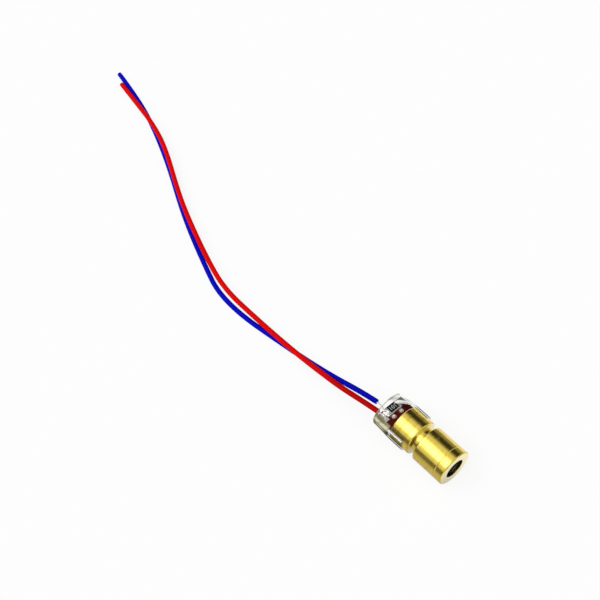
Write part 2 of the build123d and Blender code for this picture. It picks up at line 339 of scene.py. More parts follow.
# %% [markdown]
# The floor is white paper. In the photograph it is as white as the page, so to the camera most of it glows at
# a strength of 1, which is white, and the rest is plain paper, which keeps the module's soft shadow. The
# metal mirrors it white too, beyond the module and ahead of it. On the near side, where the photographer
# stands in the light, the mirrored paper is painted grey, a painted shade, and it darkens further out.

# %% Floor
FLOOR_HALF = 3.0
FLOOR_GLOW = 0.86
PAPER_TONE = (0.80, 0.80, 0.80)
OUTER_GREY = 0.05
NEAR_GREY = 0.57
GREY_SPAN = (-20, -6)
OPEN_Y_SPAN = (-2, 4)
OPEN_X_SPAN = (0.5, 3)

paper = new_finish("floor_paper")
ray_kinds = paper.node("ShaderNodeLightPath").socket.node.outputs
seen, glossy_ray, through_ray = [
    Value(paper, ray_kinds[kind]) for kind in ("Is Camera Ray", "Is Glossy Ray", "Is Transmission Ray")]
x, y, z = paper.axes()
# Painted shade: on the near side the paper mirrored in the metal is grey, darker further out.
near_painted_shade = OUTER_GREY + (NEAR_GREY - OUTER_GREY) * paper.step(y, *GREY_SPAN)
open_light = 1 - (1 - paper.step(y, *OPEN_Y_SPAN)) * (1 - paper.step(x, *OPEN_X_SPAN))
mirrored = near_painted_shade + (1 - near_painted_shade) * open_light
white = paper.node("ShaderNodeEmission", inputs={
    "Color": paper.blend(mirrored + seen, (0, 0, 0), (1, 1, 1)), "Strength": 1.0})
sheet = paper.principled(Base_Color=PAPER_TONE, Roughness=0.9, Specular_IOR_Level=0.1)
glow_share = FLOOR_GLOW * (seen + glossy_ray + through_ray)
paper.output(paper.node("ShaderNodeMixShader", inputs={0: glow_share, 1: sheet, 2: white}))
floor_corners = [(x_side * FLOOR_HALF, y_side * FLOOR_HALF, floor_z * MM)
                 for x_side, y_side in ((-1, -1), (1, -1), (1, 1), (-1, 1))]
floor_mesh = bpy.data.meshes.new("floor")
floor_mesh.from_pydata(floor_corners, [], [(0, 1, 2, 3)])
floor_mesh.materials.append(paper.owner)
floor = bpy.data.objects.new("floor", floor_mesh)
bpy.context.scene.collection.objects.link(floor)
print("floor at", round(floor_z, 2), "mm")

# %% [markdown]
# ## Turned brass
# Both halves of the head come off a lathe. A lathe piece is an outline spun about the beam axis, so only the
# outline needs care: its corners are rounded a little, because a real edge always catches light, and the
# outer wall carries the fine rings that the cutting tool left. These rings are real geometry, deeper on the
# nose, where they show most, and the finish adds the finer ones.


# %% Lathe
CORNER_RADIUS = 0.05
OUTLINE_STEP = 0.045
SIDE_SHARE = 0.4


def soften(outline, radius, steps=5):
    """Closed outline with each corner replaced by a short curve.

    The curve starts and ends a radius from the corner, or at 0.4 of the shorter side, and its points are the
    start, the corner and the end in shares (1 - t) squared, 2 t (1 - t) and t squared.
    """
    before = np.roll(outline, 1, axis=0) - outline
    after = np.roll(outline, -1, axis=0) - outline
    lengths = [np.linalg.norm(side, axis=1, keepdims=True) for side in (before, after)]
    reach = np.minimum(radius, SIDE_SHARE * np.minimum(*lengths))
    start = outline + before / lengths[0] * reach
    end = outline + after / lengths[1] * reach
    t = np.linspace(0, 1, steps)[None, :, None]
    curve = (1 - t) ** 2 * start[:, None] + 2 * t * (1 - t) * outline[:, None] + t ** 2 * end[:, None]
    return curve.reshape(-1, 2)


def fill_in(outline, step):
    """The same closed outline with more points, so that none is further than a step from the next."""
    loop = np.vstack([outline, outline[:1]])
    along = np.concatenate([[0], np.cumsum(np.linalg.norm(np.diff(loop, axis=0), axis=1))])
    places = np.union1d(along, np.arange(0, along[-1], step))
    return np.stack([np.interp(places, along, loop[:, axis]) for axis in (0, 1)], axis=1)


def lathe(outline, columns=192):
    """Spin (station, radius) points about X: y and z are the radius times the cosine and sine of the angle."""
    angle = ring(columns)
    station = np.repeat(outline[:, :1], columns + 1, axis=1)
    return np.stack([station, outline[:, 1:] * np.cos(angle), outline[:, 1:] * np.sin(angle)], axis=-1)


def tool_marks(stations, pitch, depth, seed):
    """Depth of the tool's rings along the axis: random levels at every pitch, joined by straight lines."""
    draws = np.random.default_rng(seed)
    knots = np.arange(stations.min() - pitch, stations.max() + 2 * pitch, pitch)
    return np.interp(stations, knots, draws.uniform(0, depth, len(knots)))


def turned(name, outline, wall_radius, pitch, depth, seed):
    """Lathe piece with rounded corners and tool rings on the part of its outline at the wall's radius."""
    fine = fill_in(soften(outline, CORNER_RADIUS), OUTLINE_STEP)
    wall = fine[:, 1] > wall_radius - 0.001
    fine[:, 1] -= np.where(wall, tool_marks(fine[:, 0], pitch, depth, seed), 0)
    return skin(name, lathe(fine), sharp=60)


print("lathe ready")

# %% [markdown]
# The brass itself is yellow metal. Its tone and gloss change in narrow bands round the axis, as every ring
# was cut a little differently, and faint brown stains lie over it where fingers touched it. A picture of
# turned metal could be wrapped round, but noise that knows only the station makes rings by itself and has no
# seam.


# %% Brass finish
BRASS_DEEP = (0.72, 0.54, 0.065)
BRASS_LIGHT = (0.92, 0.69, 0.150)
BRASS_STAIN = (0.42, 0.28, 0.03)
BRASS_FACE_REFLECTION = (0.97, 0.90, 0.58)
BORE_PAINTED_SHADE = (0.10, 0.07, 0.02)
FACE_PAINTED_SHADE = (0.14, 0.08, 0.02)
FACE_PAINTED_SHADE_SPAN = (-2.1, -1.7, -0.35, 0.0)
BROAD_RINGS = 0.6
STAIN_SIZE = 1.1


def brass(name, ring_size, ring_relief, faced, face_shaded, bored, lip):
    """Bright brass with bands along X: light and dark yellow, glossy and dull, high and low.

    The flat face at station `faced` is painted paler, a painted reflection. Where the next argument is 1, the
    face's near half is painted dark instead, a painted shade. Inside the radius `bored`, and behind the station
    `lip`, the metal is painted dark, a painted shade in the bore.
    """
    finish = new_finish(name)
    x, y, z = finish.axes()
    rings, broad = [
        finish.node("ShaderNodeTexNoise", {"noise_dimensions": "1D"},
                    {"W": x / size, "Scale": 1.0, "Detail": 3.0})
        for size in (ring_size, BROAD_RINGS)]
    stains = finish.step(finish.noise(STAIN_SIZE, 4.0), 0.56, 0.75)
    streaks = finish.step(0.6 * rings + 0.4 * broad, 0.36, 0.60)
    clean = finish.blend(streaks, BRASS_DEEP, BRASS_LIGHT)
    wall = finish.blend(0.4 * stains, clean, BRASS_STAIN)
    # Painted reflection: the flat face is paler than the wall.
    face = finish.band(x, faced - 0.03, faced - 0.015, faced + 0.015, faced + 0.03)
    # Painted shade on the near half of the flat face.
    side = 0.9 * y + 0.43 * z
    face_shade = face_shaded * finish.band(side, *FACE_PAINTED_SHADE_SPAN)
    outside = finish.blend(face, wall, finish.blend(face_shade, BRASS_FACE_REFLECTION, FACE_PAINTED_SHADE))
    # Painted shade: the metal inside the bore and behind the lip is dark.
    inside = 1 - finish.step(y * y + z * z, (bored - 0.02) ** 2, (bored + 0.01) ** 2)
    behind_lip = 1 - finish.step(x, lip - 0.03, lip)
    colour = finish.blend(inside * behind_lip, outside, BORE_PAINTED_SHADE)
    return finish.close(
        Base_Color=colour,
        Metallic=1.0,
        Roughness=0.13 + 0.12 * rings + 0.12 * stains + 0.12 * face,
        Normal=finish.bump(rings, ring_relief),
    )


print("brass ready")

# %% [markdown]
# The nose barrel: a tube with a lip round the beam's aperture, a bore behind it for the lens, the spring and
# the holder's neck, a chamfer at each end and one fine ring turned near the front. Cylinders cut from each
# other would do, but one outline holds every edge in a single list.

# %% Nose barrel
EDGE = 0.15
NOSE_APERTURE = 1.65
NOSE_LIP = 0.5
NOSE_BORE = 2.12
RING_SETBACK = 1.45
RING_HALF_WIDTH = 0.09
RING_DEPTH = 0.05

nose_low, nose_high = node_box("lens_barrel")
nose_rear = nose_low[0]
nose_radius = nose_high[1]
nose_outline = np.array([
    (0, NOSE_APERTURE),
    (0, nose_radius - EDGE),
    (-EDGE, nose_radius),
    (RING_HALF_WIDTH - RING_SETBACK, nose_radius),
    (-RING_SETBACK, nose_radius - RING_DEPTH),
    (-RING_HALF_WIDTH - RING_SETBACK, nose_radius),
    (nose_rear + EDGE, nose_radius),
    (nose_rear, nose_radius - EDGE),
    (nose_rear, NOSE_BORE),
    (-NOSE_LIP, NOSE_BORE),
    (-NOSE_LIP, NOSE_APERTURE),
])
nose_mesh = turned("turned_nose", nose_outline, nose_radius, pitch=0.09, depth=0.005, seed=3)
nose_brass = brass("turned_brass_nose", ring_size=0.14, ring_relief=0.006, faced=0.0, face_shaded=0,
                   bored=NOSE_BORE, lip=-NOSE_LIP)
add_piece(nose_mesh, nose_brass, "brass", "lens_barrel")

# %% [markdown]
# The diode holder: its thin neck enters the nose and shows in the gap between the two. Behind the collar is a
# seat for the diode's base, then a bore for its can and a narrower one for the beam. It is an outline on the
# lathe again.

# %% Diode holder
NECK_FRONT = -3.55
NECK_RADIUS = 2.1
NECK_CHAMFER = 0.1
COLLAR_FRONT = -6.75
SEAT_RADIUS = 2.21
SEAT_STATION = -9.35
CAN_BORE = 1.9
CAN_BORE_END = -7.3
BEAM_BORE = 1.4

collar_low, collar_high = node_box("diode_holder")
collar_rear = collar_low[0]
collar_radius = collar_high[1]
holder_outline = np.array([
    (NECK_FRONT, BEAM_BORE),
    (NECK_FRONT, NECK_RADIUS - NECK_CHAMFER),
    (NECK_FRONT - NECK_CHAMFER, NECK_RADIUS),
    (COLLAR_FRONT, NECK_RADIUS),
    (COLLAR_FRONT, collar_radius - EDGE),
    (COLLAR_FRONT - EDGE, collar_radius),
    (collar_rear + EDGE, collar_radius),
    (collar_rear, collar_radius - EDGE),
    (collar_rear, SEAT_RADIUS),
    (SEAT_STATION, SEAT_RADIUS),
    (SEAT_STATION, CAN_BORE),
    (CAN_BORE_END, CAN_BORE),
    (CAN_BORE_END, BEAM_BORE),
])
holder_mesh = turned("turned_holder", holder_outline, collar_radius, pitch=0.14, depth=0.0015, seed=8)
holder_brass = brass("turned_brass_holder", ring_size=0.17, ring_relief=0.003, faced=COLLAR_FRONT, face_shaded=1,
                     bored=CAN_BORE, lip=NECK_FRONT)
add_piece(holder_mesh, holder_brass, "brass", "diode_holder")

# %% [markdown]
# ## Lens and laser diode
# The lens sits against the lip and closes the aperture, so its dome is what one sees in the dark hole. The
# dome is part of a sphere, spun on the lathe like the brass. The lens is clear plastic with a bluish coating
# that takes away most of its reflection, so the finish transmits everything and its refraction is set low:
# with that of bare plastic, a grey gleam would cover the hole. Its deep blue tint is partly that coating and
# partly painted shade, which keeps the hole dark.


# %% Lens
DOME_FOOT = 1.55
DOME_POINTS = 24
LENS_COLUMNS = 96


def clear(name, colour, refraction):
    """Clear glass or plastic."""
    return new_finish(name).close(Base_Color=colour, Roughness=0.0, IOR=refraction, Transmission_Weight=1.0)


lens_low, lens_high = node_box("collimating_lens")
dome_height = lens_high[0] + NOSE_LIP
dome_curve = (DOME_FOOT ** 2 + dome_height ** 2) / (2 * dome_height)
dome_turn = np.linspace(0, math.asin(DOME_FOOT / dome_curve), DOME_POINTS)
dome_station = lens_high[0] - dome_curve * (1 - np.cos(dome_turn))
dome = np.stack([dome_station, dome_curve * np.sin(dome_turn)], axis=1)
rim = np.array([(-NOSE_LIP, lens_high[1]), (lens_low[0], lens_high[1]), (lens_low[0], 0)])
lens_mesh = skin("moulded_lens", lathe(np.vstack([dome, rim]), LENS_COLUMNS))
# Deep blue tint: partly the coating, partly painted shade that keeps the hole dark.
lens_plastic = clear("lens_acrylic", (0.10, 0.11, 0.24), refraction=1.05)
add_piece(lens_mesh, lens_plastic, "lens", "collimating_lens")

# %% [markdown]
# Behind the lens, a steel spring and the diode, a gilt base with a nickel can, a glass window and a dark
# chip, hardly show. A finer surface would be wasted on them, so they keep their solids and get finishes.


# %% Laser diode
def plated(name, colour, roughness, grain):
    """Plated metal: even colour, with a soft change of gloss in spots of a given size."""
    finish = new_finish(name)
    cloud = finish.noise(grain, 3.0)
    tone = finish.blend(cloud, tuple(0.8 * part for part in colour), colour)
    return finish.close(Base_Color=tone, Metallic=1.0, Roughness=roughness + 0.15 * cloud,
                        Normal=finish.bump(cloud, 0.004))


gilt = plated("gilt", (0.92, 0.70, 0.33), roughness=0.2, grain=0.5)
nickel = plated("nickel", (0.66, 0.64, 0.60), roughness=0.25, grain=0.6)
# The spring's dark grey is painted shade, so it stays dark through the lens.
spring_steel = plated("spring_steel", (0.24, 0.24, 0.25), roughness=0.4, grain=0.2)
dress(gilt, "diode_base")
dress(nickel, "diode_can")
dress(spring_steel, "lens_spring")
dress(clear("window_glass", (0.95, 0.97, 0.96), refraction=1.5), "diode_window")

chip_finish = new_finish("chip")
chip_tone = chip_finish.blend(chip_finish.noise(0.05), (0.03, 0.03, 0.04), (0.09, 0.09, 0.11))
dress(chip_finish.close(Base_Color=chip_tone, Metallic=0.4, Roughness=0.25), "laser_chip")

seal_finish = new_finish("fused_glass")
seal_tone = seal_finish.blend(seal_finish.noise(0.1), (0.03, 0.05, 0.04), (0.07, 0.09, 0.08))
dress(seal_finish.close(Base_Color=seal_tone, Roughness=0.12), "anode_seal")

# %% [markdown]
# Two gilt pins leave the base below the board and bend up through it, into the solder. Their solids are right
# as they are.

# %% Pins
dress(gilt, "anode_pin", "cathode_pin")

# %% [markdown]
# ## Circuit board
# The board is a scrap of thin laminate under a dark red mask. Copper tracks lie beneath the mask and show
# only as faint lighter bands that stand a little proud, so they belong in the finish: a track is a rectangle,
# 1 inside and 0 outside, with soft edges. The cut sides show the bare laminate.


# %% Board finish
TRACK_REAR = 0.4
TRACK_FRONT = 0.5
TRACK_HALF = 0.5
TRACK_INSET = 0.3
MASK_DEEP = (0.040, 0.0015, 0.0012)
MASK_LIGHT = (0.110, 0.010, 0.0040)


def track(finish, x, y, x_span, y_span, soft=0.05):
    """Soft rectangle: the product of a band along each of two axes."""
    bands = [finish.band(value, span[0] - soft, span[0], span[1], span[1] + soft)
             for value, span in ((x, x_span), (y, y_span))]
    return bands[0] * bands[1]


board_low, board_high = node_box("circuit_board")
bead_low, bead_high = node_box("cathode_solder")
bead_x, bead_y, _ = (bead_low + bead_high) / 2
resistor_low, resistor_high = node_box("resistor_end_caps")
red_joint_low, red_joint_high = node_box("red_wire_solder")

mask = new_finish("red_mask")
x, y, z = mask.axes()
bead_span = (bead_x - TRACK_REAR, bead_x + TRACK_FRONT)
tracks = track(mask, x, y, bead_span, (bead_y - TRACK_HALF, bead_y + TRACK_HALF))
tracks = tracks + track(mask, x, y, bead_span, (-bead_y - TRACK_HALF, -bead_y + TRACK_HALF))
tracks = tracks + track(mask, x, y, (red_joint_low[0], bead_x), (red_joint_low[1], -bead_y - TRACK_INSET))
weave = mask.noise(0.18, 3.0)
uneven = mask.step(mask.noise(1.3), 0.4, 0.65)
coat_tone = mask.blend(0.5 * tracks + 0.3 * weave + 0.3 * uneven, MASK_DEEP, MASK_LIGHT)
laminate = mask.blend(weave, (0.10, 0.035, 0.02), (0.18, 0.08, 0.05))
on_top = mask.step(z, board_high[2] - 0.05, board_high[2] - 0.03)
below = 1 - mask.step(z, board_low[2] + 0.03, board_low[2] + 0.05)
covered = on_top + below
dress(mask.close(
    Base_Color=mask.blend(covered, laminate, coat_tone),
    Roughness=0.65 - 0.3 * covered + 0.08 * weave,
    Specular_IOR_Level=0.03,
    Normal=mask.bump(tracks + 0.15 * weave, 0.03),
), "circuit_board")

# %% [markdown]
# ## Chip resistor
# White ceramic with tinned ends and a black glaze over the resistive film. The solids are plain boxes, as the
# real ones nearly are, so they stay, and grain and waviness are left to the finishes.

# %% Resistor finishes
ceramic = new_finish("alumina")
grain = ceramic.noise(0.04, 3.0)
dress(ceramic.close(
    Base_Color=ceramic.blend(grain, (0.70, 0.66, 0.55), (0.84, 0.81, 0.72)),
    Roughness=0.5 + 0.2 * grain,
    Normal=ceramic.bump(grain, 0.006),
), "resistor_body")

glaze = new_finish("black_glaze")
waviness = glaze.noise(0.5)
dress(glaze.close(
    Base_Color=glaze.blend(waviness, (0.002, 0.003, 0.0025), (0.005, 0.007, 0.006)),
    Roughness=0.2 + 0.15 * waviness,
    Specular_IOR_Level=0.04,
    Normal=glaze.bump(waviness, 0.01),
), "resistor_coating")

tin = plated("tin", (0.82, 0.82, 0.80), roughness=0.22, grain=0.25)
dress(tin, "resistor_end_caps", "solder_pads")

# %% [markdown]
# The resistor's value is printed on the glaze in three figures, read from the rear of the module. A picture
# could carry them, but Blender's own font does it with no file: the letters become a mesh, whose points are
# then laid on the glaze.

# %% Resistor figures
FIGURES = "101"
FIGURES_WIDTH = 1.0
FIGURES_HEIGHT = 0.62
FIGURES_RAISE = 0.004

text = bpy.data.curves.new("figures", "FONT")
text.body = FIGURES
writing = bpy.data.objects.new("figures_flat", text)
figures_mesh = bpy.data.meshes.new_from_object(writing)
flat = np.empty(len(figures_mesh.vertices) * 3)
figures_mesh.vertices.foreach_get("co", flat)
flat = flat.reshape(-1, 3)
share = (flat - flat.min(axis=0)) / np.maximum(np.ptp(flat, axis=0), 1e-9) - 0.5
glaze_low, glaze_high = node_box("resistor_coating")
middle = (glaze_low + glaze_high) / 2
laid = np.stack([
    middle[0] + FIGURES_HEIGHT * share[:, 1],
    middle[1] - FIGURES_WIDTH * share[:, 0],
    np.full(len(share), glaze_high[2] + FIGURES_RAISE),
], axis=1)
figures_mesh.vertices.foreach_set("co", (laid * MM).ravel())
figures_mesh.update()
figures_mesh.name = "resistor_figures"
bpy.data.objects.remove(writing)
ink = new_finish("pale_ink")
ink_tone = ink.blend(ink.noise(0.08), (0.34, 0.36, 0.35), (0.55, 0.57, 0.55))
add_piece(figures_mesh, ink.close(Base_Color=ink_tone, Roughness=0.6), "alumina")

# %% [markdown]
# ## Solder
# Molten solder wets the pad, creeps up whatever stands in it and freezes with a bright, slightly lumpy skin.
# Its section is hollow near the edge and round on top, which half a cosine wave gives. A lump reaches a
# different way to each side, and a few waves round its edge keep it from looking moulded. Sculpting would do
# it too, but a formula follows the pads when they move.


# %% Lump of solder
EDGE_WAVE = 0.05
RIPPLE = 0.10


def lump(name, centre, reach, height, seed, fullness=0.75, rows=28, columns=72):
    """Lump of solder on the pads.

    At a share s from the middle to the edge, the surface is height times (1 + cos(pi s)) / 2, raised to the
    fullness: a lower one is rounder. The edge lies at reach = (rear, front, near, far) from the centre, times 1
    plus three small waves of the angle.
    """
    draws = np.random.default_rng(seed)
    angle = ring(columns)[None, :]
    waves = np.arange(2, 5)[:, None, None]
    phase = draws.uniform(0, 2 * np.pi, (3, 1, 1))
    edge = 1 + (EDGE_WAVE * np.sin(waves * angle + phase)).sum(axis=0)
    rear, front, near, far = reach
    along = np.where(np.cos(angle) > 0, front, rear) * np.cos(angle) * edge
    across = np.where(np.sin(angle) > 0, far, near) * np.sin(angle) * edge
    s = np.linspace(0, 1, rows)[:, None]
    lift = height * ((1 + np.cos(np.pi * s)) / 2) ** fullness
    ripple = 1 + RIPPLE * np.sin(3 * angle + phase[0] + 5 * s) * s * (1 - s) * 4
    top = np.stack([centre[0] + s * along, centre[1] + s * across, pad_top + lift * ripple], axis=-1)
    foot = np.stack([top[..., 0], top[..., 1], np.full_like(top[..., 2], pad_top)], axis=-1)
    return skin(name, top, foot[[0, -1]])


pad_top = node_box("solder_pads")[1][2]
print("solder stands on", round(pad_top, 3), "mm")

# %% [markdown]
# Two round beads close in the pins, a broad lump holds the red core, and half lumps creep up both ends of the
# resistor, the near one with the blue core in it. Each takes its place and most of its size from its solid.

# %% Solder joints
BEAD_SHRINK = 0.8
RED_STRETCH = (1.1, 1.1, 1.0, 1.15)
RED_LIFT = 1.25
AGAINST_END = 0.02
BLUE_REACH = (0.72, 0.55, 0.56, AGAINST_END)
BLUE_HEIGHT = 0.50
END_REACH = 0.62
END_HEIGHT = 0.44

solder = new_finish("bright_solder")
skin_pattern = solder.noise(0.22, 3.0)
solder_finish = solder.close(
    Base_Color=solder.blend(skin_pattern, (0.84, 0.84, 0.83), (0.97, 0.97, 0.96)),
    Metallic=0.7,
    Roughness=0.14 + 0.3 * skin_pattern,
    Normal=solder.bump(skin_pattern, 0.05),
)
for seed, node in enumerate(("anode_solder", "cathode_solder")):
    low, high = node_box(node)
    half = (high - low) / 2
    reach = half[[0, 0, 1, 1]] * BEAD_SHRINK
    mesh = lump("lump_" + node, (low + high) / 2, reach, high[2] - low[2], seed, fullness=0.4)
    add_piece(mesh, solder_finish, "solder", node)

low, high = node_box("red_wire_solder")
half = (high - low) / 2
reach = half[[0, 0, 1, 1]] * RED_STRETCH
height = RED_LIFT * (high[2] - low[2])
mesh = lump("lump_red_wire_solder", (low + high) / 2, reach, height, seed=2, fullness=0.5)
add_piece(mesh, solder_finish, "solder", "red_wire_solder")

low, high = node_box("blue_wire_solder")
middle_x = (low[0] + high[0]) / 2
mesh = lump("lump_blue_wire_solder", (middle_x, high[1]), BLUE_REACH, BLUE_HEIGHT, seed=11)
add_piece(mesh, solder_finish, "solder", "blue_wire_solder")

low, high = node_box("resistor_solder")
middle_x = (low[0] + high[0]) / 2
reach = (END_REACH, END_REACH, AGAINST_END, high[1] - low[1])
mesh = lump("lump_resistor_solder", (middle_x, low[1]), reach, END_HEIGHT, seed=12)
add_piece(mesh, solder_finish, "solder", "resistor_solder")

# %% [markdown]
# ## Wires
# Each wire is one line. Its route is a short list of points, and a NURBS spline with those points as its
# control points gives the smooth curve that a springy little wire takes. Blender works the spline out, and
# the points of its line are read back to carry everything that follows it. x counts from the rear edge of the
# board, and y from where the stripped core lands on it.

# %% Routes
CORE_RADIUS = 0.125
CORE_SIDE_GAP = 0.04
RED_ROUTE = [
    (-0.27, 0, 1.2), (-3.25, -0.25, 0.8), (-7.65, -0.6, -0.1), (-13.45, -0.55, -1.38), (-19.45, -0.75, -1.83),
    (-27.45, -1, -1.68), (-35.15, -0.85, -1.83), (-41.95, 1.05, -1.78), (-50.95, 4.3, -1.78),
    (-56.95, 6.85, -1.78), (-66.95, 11.85, -1.78), (-73.45, 13.85, -1.78), (-79.45, 14.95, -1.98),
    (-86.05, 16.35, -2.63),
]
BLUE_ROUTE = [
    (-1.65, 0.265, 1.1), (-4.65, -0.135, 0.85), (-10.65, -0.455, -1.35), (-18.45, -1.155, -2.76),
    (-33.75, -3.255, -2.76), (-43.45, 0.085, -2.76), (-52.95, 3.845, -2.76), (-62.95, 8.785, -2.76),
    (-71.45, 12.385, -2.76), (-79.95, 15.265, -2.76), (-88.75, 16.965, -2.76),
]
board_rear = board_low[0]
red_landing_y = (red_joint_low[1] + red_joint_high[1]) / 2
blue_landing_y = resistor_low[1] - CORE_RADIUS - CORE_SIDE_GAP


def smooth_line(points, resolution=14):
    """Points along the NURBS spline of order 3 that has the given control points and ends on the outer two."""
    curve = bpy.data.curves.new("line", "CURVE")
    curve.dimensions = "3D"
    curve.resolution_u = resolution
    spline = curve.splines.new("NURBS")
    spline.points.add(len(points) - 1)
    spline.points.foreach_set("co", np.c_[np.array(points), np.ones(len(points))].ravel())
    spline.order_u = 3
    spline.use_endpoint_u = True
    spline.resolution_u = resolution
    carrier = bpy.data.objects.new("line", curve)
    mesh = bpy.data.meshes.new_from_object(carrier)
    line = np.empty(len(mesh.vertices) * 3)
    mesh.vertices.foreach_get("co", line)
    bpy.data.objects.remove(carrier)
    bpy.data.meshes.remove(mesh)
    return line.reshape(-1, 3)


def line_length(line):
    """Sum of the distances from each point to the next."""
    return np.linalg.norm(np.diff(line, axis=0), axis=1).sum()


red_line = smooth_line(np.array(RED_ROUTE) + (board_rear, red_landing_y, 0))
blue_line = smooth_line(np.array(BLUE_ROUTE) + (board_rear, blue_landing_y, 0))
print("red", round(line_length(red_line), 2), "mm, blue", round(line_length(blue_line), 2), "mm")

# %% [markdown]
# The insulation is a circle carried along the line. Blender's bevelled curves do this too, but points worked
# out here can also swell, turn and close at the ends, and the strands below use the same function.


# %% Circles along a line
def carry(line, radius, columns, spin=0.0):
    """Circles along a line: each point plus the radius times cosine and sine along two directions square to it.

    The first direction is level, the second square to it and to the line.
    """
    heading = np.gradient(line, axis=0)
    heading /= np.linalg.norm(heading, axis=1, keepdims=True)
    level_way = np.cross([0, 0, 1], heading)
    level_way /= np.linalg.norm(level_way, axis=1, keepdims=True)
    rise_way = np.cross(heading, level_way)
    angle = ring(columns)[None, :, None] + np.reshape(spin, (-1, 1, 1))
    circle = np.cos(angle) * level_way[:, None] + np.sin(angle) * rise_way[:, None]
    return line[:, None] + np.reshape(radius, (-1, 1, 1)) * circle


print("circles follow a line")

# %% [markdown]
# At both ends the insulation is cut square, with a slightly rounded edge round a shallow bore that the
# strands fill. A soft vinyl is never quite even, so its thickness swells by about a hundredth here and there.

# %% Insulation
WIRE_RADIUS = 0.42
WIRE_COLUMNS = 28
SWELL = (-0.01, 0.006)
SWELL_KNOTS = 60
CUT_EDGE = 0.04
CUT_BORE = 0.25
CUT_PROFILE = [(CUT_BORE, 0), (CUT_BORE, CORE_RADIUS), (0, CORE_RADIUS), (0, WIRE_RADIUS - CUT_EDGE),
               (CUT_EDGE / 3, WIRE_RADIUS - CUT_EDGE / 3)]


def cut_end(line):
    """Rows of a square cut: points at small depths from the line's first point, and a radius for each."""
    inwards = (line[1] - line[0]) / np.linalg.norm(line[1] - line[0])
    depths, radii = np.array(CUT_PROFILE).T
    return line[0] + depths[:, None] * inwards, radii


def insulation(name, line, seed):
    """Closed tube of insulation along a line, with a cut at each end."""
    draws = np.random.default_rng(seed)
    along = np.linspace(0, 1, len(line))
    swell = np.interp(along, np.linspace(0, 1, SWELL_KNOTS), draws.uniform(*SWELL, SWELL_KNOTS))
    first, first_radii = cut_end(line)
    last, last_radii = cut_end(line[::-1])
    body = carry(line[1:-1], WIRE_RADIUS * (1 + swell[1:-1]), WIRE_COLUMNS)
    first_circle = carry(line[:2], 1.0, WIRE_COLUMNS)[:1] - line[:1, None]
    last_circle = carry(line[-2:], 1.0, WIRE_COLUMNS)[-1:] - line[-1:, None]
    start = first[:, None] + first_radii[:, None, None] * first_circle
    end = (last[:, None] + last_radii[:, None, None] * last_circle)[::-1]
    return skin(name, np.concatenate([start, body, end]), sharp=50)


print("cut profile of", len(CUT_PROFILE), "points")

# %% [markdown]
# The vinyl is a strong colour with hardly any gloss. Near the joint it is painted a little darker, a painted
# shade.

# %% Leads
JOINT_SHADE_SPAN = (-32, -16)


def vinyl(name, deep, bright, joint_shade):
    """Soft coloured insulation: cloudy tone, a satin skin and fine draw marks.

    The tone falls towards the joint by the share in the last argument, a painted shade.
    """
    finish = new_finish(name)
    cloud = finish.noise(3.0, 3.0)
    fine = finish.noise(0.25, 2.0)
    # Painted shade: the tone darkens towards the joint.
    painted_joint_shade = joint_shade * finish.step(finish.axes()[0], *JOINT_SHADE_SPAN)
    return finish.close(
        Base_Color=finish.blend(painted_joint_shade, finish.blend(cloud, deep, bright), (0, 0, 0)),
        Roughness=0.42 + 0.14 * fine,
        Specular_IOR_Level=0.03,
        Normal=finish.bump(fine, 0.008),
    )


red_vinyl = vinyl("red_vinyl", (0.51, 0.0008, 0.0012), (0.66, 0.0012, 0.0018), joint_shade=0.40)
blue_vinyl = vinyl("blue_vinyl", (0.0006, 0.0010, 0.35), (0.0010, 0.0018, 0.46), joint_shade=0.15)
red_lead = add_piece(insulation("red_lead", red_line, seed=21), red_vinyl, "red_insulation", "red_wire")
blue_lead = add_piece(insulation("blue_lead", blue_line, seed=22), blue_vinyl, "blue_insulation", "blue_wire")

# %% [markdown]
# ## Strands
# Inside the insulation are seven thin tinned strands, one straight and six twisted round it. They show where
# the wire is stripped, on the way to the board, and as bright dots in the cut ends. A strand is a thin tube
# whose line goes round the core's line once for every pitch. One tube with a twisted bump would be lighter,
# but its outline would stay smooth where it is seen against white.

# %% Strands
STRAND_RADIUS = CORE_RADIUS / 3
STRAND_PITCH = 1.6
CORE_STRAIGHT = 0.2
CORE_LANDING = 0.1
SOLDER_FILM = 0.05
END_COVER = 0.2
STUB_SETBACK = 0.02


def capped(path):
    """Thin tube along a path, closed by a point at each end."""
    body = carry(path, STRAND_RADIUS, 10)
    tips = np.repeat(path[[0, -1], None], body.shape[1], axis=1)
    return np.concatenate([tips[:1], body, tips[1:]])


def strands(name, line):
    """One strand on the line and six at two strand radii from it, turning with the length along the line."""
    along = np.concatenate([[0], np.cumsum(np.linalg.norm(np.diff(line, axis=0), axis=1))])
    sixth = carry(line, 2 * STRAND_RADIUS, 6, spin=2 * np.pi * along / STRAND_PITCH)
    return skin(name, capped(line), *[capped(sixth[:, k]) for k in range(6)])


def stripped(line, y, end_x):
    """Line of a stripped end: out of the insulation, a short straight, then down to the pad up to end_x."""
    heading = (line[0] - line[1]) / np.linalg.norm(line[0] - line[1])
    height = pad_top + SOLDER_FILM + CORE_RADIUS
    landing = resistor_low[0] + CORE_LANDING
    return smooth_line([
        line[0] - heading * CUT_BORE, line[0], line[0] + heading * CORE_STRAIGHT,
        (landing, y, height), (end_x, y, height),
    ], resolution=12)


tinned = plated("tinned_strands", (0.80, 0.80, 0.79), roughness=0.25, grain=0.1)
core_end = resistor_high[0] - END_COVER
red_core = stripped(red_line, red_landing_y, core_end)
blue_core = stripped(blue_line, blue_landing_y, core_end)
add_piece(strands("red_strands", red_core), tinned, "tinned_copper", "red_wire_core")
add_piece(strands("blue_strands", blue_core), tinned, "tinned_copper", "blue_wire_core")

